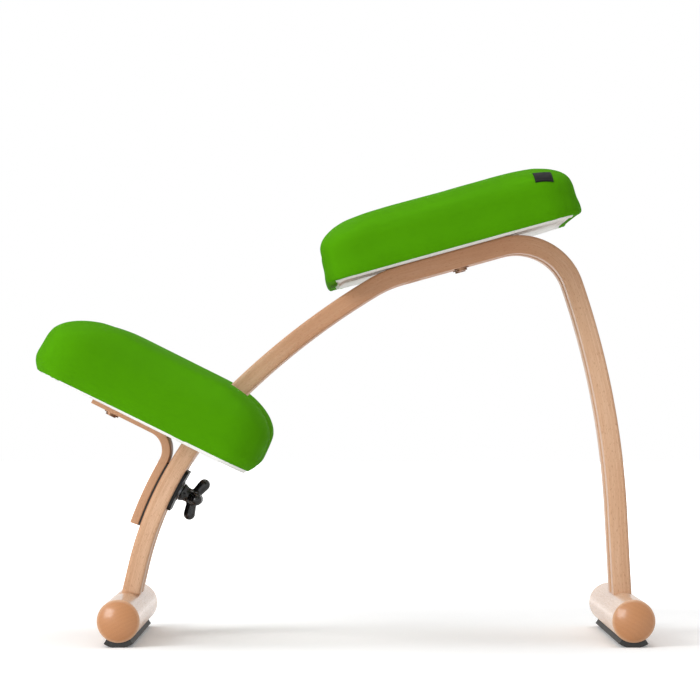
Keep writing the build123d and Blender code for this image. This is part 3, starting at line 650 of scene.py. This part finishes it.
# Rails and bracket
def make_rails():
    section = rounded_section(-RAIL_THICKNESS / 2, RAIL_THICKNESS / 2, RAIL_WIDTH / 2, RAIL_ROUND)
    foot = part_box("front_foot_bar")[1].z - RAIL_FOOT_SINK
    for name, side in (("left_rail", -1), ("right_rail", 1)):
        middle = side * (RAIL_GAP + RAIL_WIDTH) / 2
        rail = swept(name + "_bentwood", RAIL_STOPS, section, middle)
        cut_below(rail, foot)
        mouth = SEAT_PLANE @ Vector((SEAT_BOLT_FRONT, middle, 2 * -RAIL_THICKNESS))
        drill(rail, mouth, SEAT_PLANE @ Vector((SEAT_BOLT_FRONT, middle, SEAT_BOLT_SEAT)), WASHER_BORE)
        for nuts in ("front_barrel_nuts", "rear_barrel_nuts"):
            spot = box_middle(nuts)
            drill(rail, (spot.x, -DOWEL_REACH, spot.z), (spot.x, DOWEL_REACH, spot.z), DOWEL_BORE)
        dress(rail, "frame", "beech", RAIL_WOOD, name)


def make_bracket():
    section = rounded_section(-BRACKET_THICKNESS, 0.0, BRACKET_WIDTH / 2, BRACKET_ROUND)
    bracket = swept("knee_bracket_bentwood", BRACKET_STOPS, section, 0.0)
    floor = CLAMP_PLACE + CLAMP_AXIS * BOLT_HEAD_SEAT
    drill(bracket, floor - CLAMP_AXIS * BRACKET_WIDTH, floor, BOLT_HEAD_BORE)
    dress(bracket, "knee_rest", "beech", BRACKET_WOOD, "knee_bracket")


# Skins round several forms
def skinned(name, work, plane, voxel):
    """One closed skin round the forms of a bmesh in the axes of a plane."""
    piece = piece_from(name, work)
    piece.matrix_world = plane
    remesh = piece.modifiers.new("skin", "REMESH")
    remesh.mode = "VOXEL"
    remesh.voxel_size = voxel
    settle(piece)
    return piece


def merged(name, nodes, plane, voxel):
    """One closed skin round several CAD nodes, in the axes of a plane."""
    work = bmesh.new()
    for node in nodes:
        work.from_mesh(frame["nodes"][node].data)
    bmesh.ops.transform(work, matrix=plane.inverted(), verts=work.verts)
    return skinned(name, work, plane, voxel)


def neighbours(mesh):
    """Points next to each point of a mesh."""
    around = [[] for _ in mesh.vertices]
    for edge in mesh.edges:
        first, second = edge.vertices
        around[first].append(second)
        around[second].append(first)
    return around


def evened(mesh, moves, rounds):
    """Moves of a mesh's points, each averaged with its neighbours' again and again."""
    around = neighbours(mesh)
    for _ in range(rounds):
        spread = []
        for own, near in zip(moves, around):
            total = sum((moves[index] for index in near), Vector())
            spread.append((own + total / len(near)) / 2)
        moves = spread
    return moves


def soften(piece, rounds):
    """Smooth out the steps that a skin has from its voxels."""
    work = bmesh.new()
    work.from_mesh(piece.data)
    for _ in range(rounds):
        bmesh.ops.smooth_vert(
            work, verts=work.verts, factor=0.5, use_axis_x=True, use_axis_y=True, use_axis_z=True,
        )
    work.to_mesh(piece.data)
    work.free()


def shade_smooth(piece):
    piece.data.polygons.foreach_set("use_smooth", [True] * len(piece.data.polygons))


# Knob
def make_knob():
    """Moulded knob with a waisted hub and rounded lobes that lean away from the plate."""
    work = bmesh.new()
    for (low, inner), (high, outer) in zip(KNOB_PROFILE, KNOB_PROFILE[1:]):
        add_rod(work, (0, 0, low), (0, 0, high), inner, outer)
    for index in range(KNOB_LOBES):
        turn = Matrix.Rotation(2 * pi * index / KNOB_LOBES, 3, "Z")
        root = turn @ Vector((LOBE_ROOT[0], 0, LOBE_ROOT[1]))
        tip = turn @ Vector((LOBE_TIP[0], 0, LOBE_TIP[1]))
        add_rod(work, root, tip, *LOBE_RADII)
        bmesh.ops.create_uvsphere(
            work, u_segments=32, v_segments=16, radius=LOBE_RADII[1], matrix=Matrix.Translation(tip),
        )
    tilt = CLAMP_AXIS.to_track_quat("Z", "Y").to_matrix().to_4x4()
    plane = Matrix.Translation(CLAMP_PLACE + CLAMP_AXIS * KNOB_FOOT) @ tilt
    knob = skinned("moulded_knob", work, plane, KNOB_VOXEL)
    soften(knob, KNOB_SMOOTHING)
    shade_smooth(knob)
    dress(knob, "knob", "black_plastic", PLASTIC, "knob_grip")


# Cushions
def hem_levels(places, hem):
    """Heights of a hem at places along a cushion, from its front end to its rear end."""
    front, rear = min(places), max(places)
    return [hem[0] + (hem[1] - hem[0]) * (place - front) / (rear - front) for place in places]


def swell(piece, held):
    """Draw the cover in and press it out again with cloth simulation, held along its base."""
    mesh = piece.data
    full = [vert.co.copy() for vert in mesh.vertices]
    inward = [vert.normal * -CUSHION_SHRINK for vert in mesh.vertices]
    for index in held:
        inward[index] = Vector()
    for vert, move in zip(mesh.vertices, inward):
        vert.co += move
    small = [vert.co.copy() for vert in mesh.vertices]
    piece.vertex_groups.new(name="held").add(held, 1.0, "REPLACE")
    cloth = piece.modifiers.new("cover", "CLOTH")
    cloth.settings.vertex_group_mass = "held"
    cloth.settings.use_pressure = True
    cloth.settings.uniform_pressure_force = PRESSURE
    cloth.settings.effector_weights.gravity = 0.0
    cloth.settings.quality = CLOTH_QUALITY
    cloth.point_cache.frame_start = 1
    cloth.point_cache.frame_end = LAST_FRAME
    for number in range(1, LAST_FRAME + 1):
        bpy.context.scene.frame_set(number)
    settle(piece)
    bpy.context.scene.frame_set(1)
    moves = []
    for vert, start in zip(piece.data.vertices, small):
        move = vert.co - start
        if move.length > CUSHION_SWELL:
            move *= CUSHION_SWELL / move.length
        moves.append(move * CUSHION_SLACK)
    moves = evened(piece.data, moves, SWELL_SMOOTHING)
    for index in held:
        moves[index] = Vector()
    for vert, whole, move in zip(piece.data.vertices, full, moves):
        vert.co = whole + move


def plan_tree(points):
    """Tree of points seen from above, for finding the nearest one."""
    tree = KDTree(len(points))
    for place, point in enumerate(points):
        tree.insert((point.x, point.y, 0.0), place)
    tree.balance()
    return tree


def rim_share(tree, point):
    """One at the points of a tree, fading to nothing at the width of a roll."""
    reach = tree.find((point.x, point.y, 0.0))[2]
    return max(0.0, 1 - reach / ROLL_WIDTH)


def roll_rim(piece, base, drop):
    """Let the rim of a cushion's base hang as a rolled edge."""
    inside = set(base)
    low = [vert for vert in piece.data.vertices if vert.co.z < ROLL_HEIGHT]
    flank = plan_tree([vert.co for vert in low if vert.index not in inside])
    for vert in low:
        vert.co.z -= drop * rim_share(flank, vert.co) * (1 - vert.co.z / ROLL_HEIGHT)


def make_cushion(name, plane, hem, roll, body):
    """Padded cushion in the space of its foam and cover, with a flat base inside its rolled rim."""
    nodes = [f"{name}_{part}" for part in ("cover", "foam", "board", "tee_nuts", "underside_cloth")]
    cushion = merged(f"{name}_cushion", nodes, plane, CUSHION_VOXEL)
    soften(cushion, CUSHION_SMOOTHING)
    levels = hem_levels([vert.co.x for vert in cushion.data.vertices], hem)
    base = []
    for vert, level in zip(cushion.data.vertices, levels):
        if vert.co.z < level + HEM_TURN:
            vert.co.z = level
            base.append(vert.index)
    swell(cushion, base)
    roll_rim(cushion, base, roll)
    shade_smooth(cushion)
    finer = cushion.modifiers.new("finer", "SUBSURF")
    finer.levels = 1
    finer.render_levels = 1
    dress(cushion, body, "green_fabric", GREEN, f"{name}_cover", f"{name}_foam")
    return cushion


def make_lining(name, plane, hem, roll, body):
    """Pale lining stretched under a cushion's board, its edge tucked up to the hem inside the rim."""
    lining = merged(f"{name}_lining", [f"{name}_underside_cloth", f"{name}_board"], plane, LINING_VOXEL)
    soften(lining, LINING_SMOOTHING)
    work = bmesh.new()
    work.from_mesh(lining.data)
    middles = [face.calc_center_median() for face in work.faces]
    levels = hem_levels([middle.x for middle in middles], hem)
    faces = zip(work.faces, middles, levels)
    spare = [face for face, middle, level in faces if middle.z > level]
    bmesh.ops.delete(work, geom=spare, context="FACES")
    levels = hem_levels([vert.co.x for vert in work.verts], hem)
    rim = plan_tree([vert.co for vert in work.verts if vert.is_boundary])
    for vert, level in zip(work.verts, levels):
        if vert.is_boundary:
            vert.co.z = level
        elif vert.co.z < HEM_TURN:
            vert.co.z = LINING_DROP - roll * LINING_ROLL * rim_share(rim, vert.co)
    area = sum(face.calc_area() for face in work.faces)
    work.to_mesh(lining.data)
    work.free()
    shade_smooth(lining)
    dress(lining, body, "pale_lining", LINING, f"{name}_underside_cloth")


def make_tag(cushion):
    """Blank ribbon tag sewn on the seat cushion, square to the cushion's length along its surface."""
    bpy.context.view_layer.update()
    surface = BVHTree.FromObject(cushion, bpy.context.evaluated_depsgraph_get())
    work = bmesh.new()
    uv = work.loops.layers.uv.new("Run")
    aim = Vector((TAG_PLACE[0], 0.0, TAG_PLACE[1])) - TAG_LOOK
    middle, outward = surface.ray_cast(aim, TAG_LOOK)[:2]
    across = (Vector((1, 0, 0)) - outward * outward.x).normalized()
    upward = outward.cross(across)
    grid = []
    for row in range(TAG_STEPS + 1):
        line = []
        for column in range(TAG_STEPS + 1):
            start = middle + outward * TAG_RISE
            start += across * TAG_SIZE[0] * (column / TAG_STEPS - 0.5)
            start += upward * TAG_SIZE[1] * (row / TAG_STEPS - 0.5)
            spot, normal = surface.ray_cast(start, -outward)[:2]
            line.append(work.verts.new(spot + normal * (TAG_LIFT + TAG_THICKNESS)))
        grid.append(line)
    for row in range(TAG_STEPS):
        for column in range(TAG_STEPS):
            corners = [(row, column), (row, column + 1), (row + 1, column + 1), (row + 1, column)]
            face = work.faces.new([grid[r][c] for r, c in corners])
            for loop, (r, c) in zip(face.loops, corners):
                loop[uv].uv = (c / TAG_STEPS, r / TAG_STEPS)
    tag = piece_from("seat_tag_ribbon", work)
    tag.matrix_world = cushion.matrix_world.copy()
    thick = tag.modifiers.new("thick", "SOLIDIFY")
    thick.thickness = TAG_THICKNESS
    thick.offset = -1.0
    round_edge = tag.modifiers.new("edge", "BEVEL")
    round_edge.width = TAG_THICKNESS / 3
    round_edge.segments = 2
    dress(tag, "frame", "black_tag", RIBBON, "seat_tag")


# Floor, light and camera
def make_floor():
    work = bmesh.new()
    bmesh.ops.create_grid(work, x_segments=8, y_segments=8, size=FLOOR_SIZE)
    floor = piece_from("floor", work)
    finish = Finish("floor", Specular_IOR_Level=0.1)
    paths = finish.tree.nodes.new("ShaderNodeLightPath").outputs
    seen = finish.math("MAXIMUM", paths["Is Camera Ray"], paths["Is Glossy Ray"])
    seen = finish.math("MAXIMUM", seen, paths["Is Transmission Ray"])
    reach = finish.node("VectorMath", {0: finish.place()}, output=1, operation="LENGTH")
    fade = finish.span(reach, *FLOOR_FADE, FLOOR_GLOW, 1.0)
    speck = finish.noise(finish.place(), scale=6, detail=2)
    colour = finish.mix(speck, *FLOOR_COLOURS)
    finish.finish(colour, 0.9, speck, 0.0001)
    finish.shader.inputs["Emission Color"].default_value = WHITE
    finish.feed(finish.shader.inputs["Emission Strength"], finish.math("MULTIPLY", seen, fade))
    paint(floor, finish.material)


def make_lamp(name, place, size, power):
    """Soft square lamp aimed at the middle of the chair."""
    lamp = bpy.data.lights.new(name, "AREA")
    lamp.size = size
    lamp.energy = power
    holder = bpy.data.objects.new(name, lamp)
    bpy.context.scene.collection.objects.link(holder)
    holder.location = place
    aim = LAMP_TARGET - Vector(place)
    holder.rotation_euler = aim.to_track_quat("-Z", "Y").to_euler()


def make_light():
    """White surroundings that show as white, and soft lamps from the front left and above."""
    world = bpy.data.worlds.new("studio")
    world.use_nodes = True
    tree = world.node_tree
    paths = tree.nodes.new("ShaderNodeLightPath").outputs
    back = tree.nodes["Background"]
    seen = paths["Is Camera Ray"]
    for ray in ("Is Glossy Ray", "Is Transmission Ray"):
        either = tree.nodes.new("ShaderNodeMath")
        either.operation = "MAXIMUM"
        tree.links.new(seen, either.inputs[0])
        tree.links.new(paths[ray], either.inputs[1])
        seen = either.outputs[0]
    strength = tree.nodes.new("ShaderNodeMapRange")
    strength.inputs["To Min"].default_value = WORLD_LIGHT
    tree.links.new(seen, strength.inputs["Value"])
    tree.links.new(strength.outputs[0], back.inputs["Strength"])
    back.inputs["Color"].default_value = WHITE
    bpy.context.scene.world = world
    for name, (place, size, power) in LAMPS.items():
        make_lamp(name, place, size, power)


def make_camera():
    lens = bpy.data.cameras.new("photo")
    lens.lens = CAMERA_LENS
    lens.sensor_width = CAMERA_SENSOR
    lens.clip_end = CAMERA_REACH
    camera = bpy.data.objects.new("photo", lens)
    bpy.context.scene.collection.objects.link(camera)
    camera.location = CAMERA_PLACE
    aim = Vector(CAMERA_TARGET) - Vector(CAMERA_PLACE)
    camera.rotation_euler = aim.to_track_quat("-Z", "Y").to_euler()
    bpy.context.scene.camera = camera


bpy.context.scene.view_settings.view_transform = "Standard"
make_camera()
make_light()
make_floor()
dress_nodes()
make_rails()
make_bracket()
make_knob()
make_tag(make_cushion("seat", SEAT_PLANE, SEAT_HEM, SEAT_ROLL, "frame"))
make_cushion("knee", KNEE_PLANE, KNEE_HEM, KNEE_ROLL, "knee_rest")
make_lining("seat", SEAT_PLANE, SEAT_HEM, SEAT_ROLL, "frame")
make_lining("knee", KNEE_PLANE, KNEE_HEM, KNEE_ROLL, "knee_rest")
